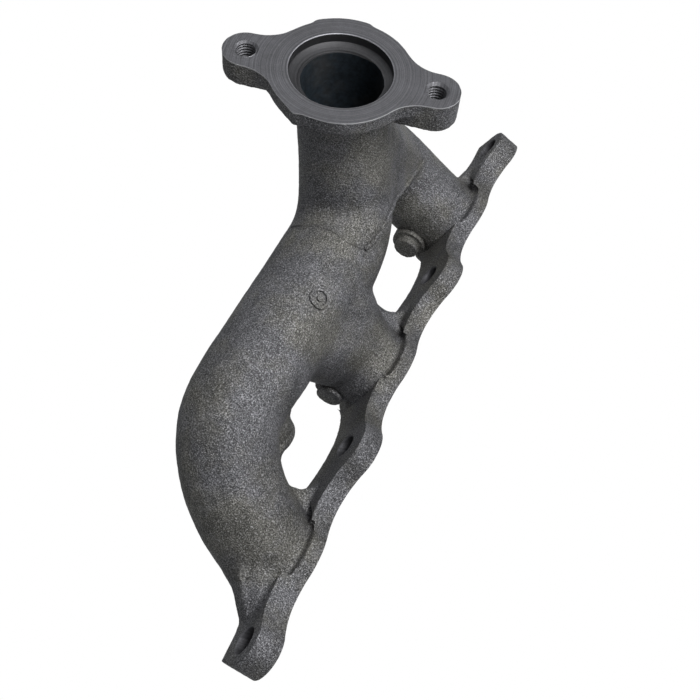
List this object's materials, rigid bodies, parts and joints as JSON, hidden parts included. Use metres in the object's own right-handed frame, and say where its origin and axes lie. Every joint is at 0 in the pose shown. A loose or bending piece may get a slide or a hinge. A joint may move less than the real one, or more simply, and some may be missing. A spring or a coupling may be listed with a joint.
{
  "type": "exhaust manifold",
  "caption": "Cast-iron exhaust manifold for one bank of an engine: head flange with ported pads, runners into a log, and a neck rising to a stud-fixed outlet flange.",
  "frame": {"origin": "centre of the middle port on the gasket face", "axes": "+X from port 1 to port 3, +Y towards the side the outlet faces, +Z away from the cylinder head"},
  "size_m": [0.327, 0.1377, 0.1603],
  "materials": {
    "cast_iron": "as-cast, fine sand texture, matt dark grey",
    "machined_iron": "turned face, dull grey, fine concentric tool marks"
  },
  "bodies": {
    "root": {"port_1_pad": "cast_iron", "port_2_pad": "cast_iron", "port_3_pad": "cast_iron", "bar_1_2": "cast_iron", "bar_2_3": "cast_iron", "upper_lug": "cast_iron", "lower_lug": "cast_iron", "runner_1": "cast_iron", "runner_2": "cast_iron", "runner_3": "cast_iron", "log": "cast_iron", "outlet_neck": "cast_iron", "outlet_flange": "machined_iron", "upper_lug_web": "cast_iron", "lower_lug_web": "cast_iron", "feeder_stub_1": "cast_iron", "feeder_stub_2": "cast_iron", "log_feeder": "cast_iron", "cast_mark": "cast_iron", "neck_joint_bead": "cast_iron", "runner_joint_bead": "cast_iron"}
  },
  "joints": []
}
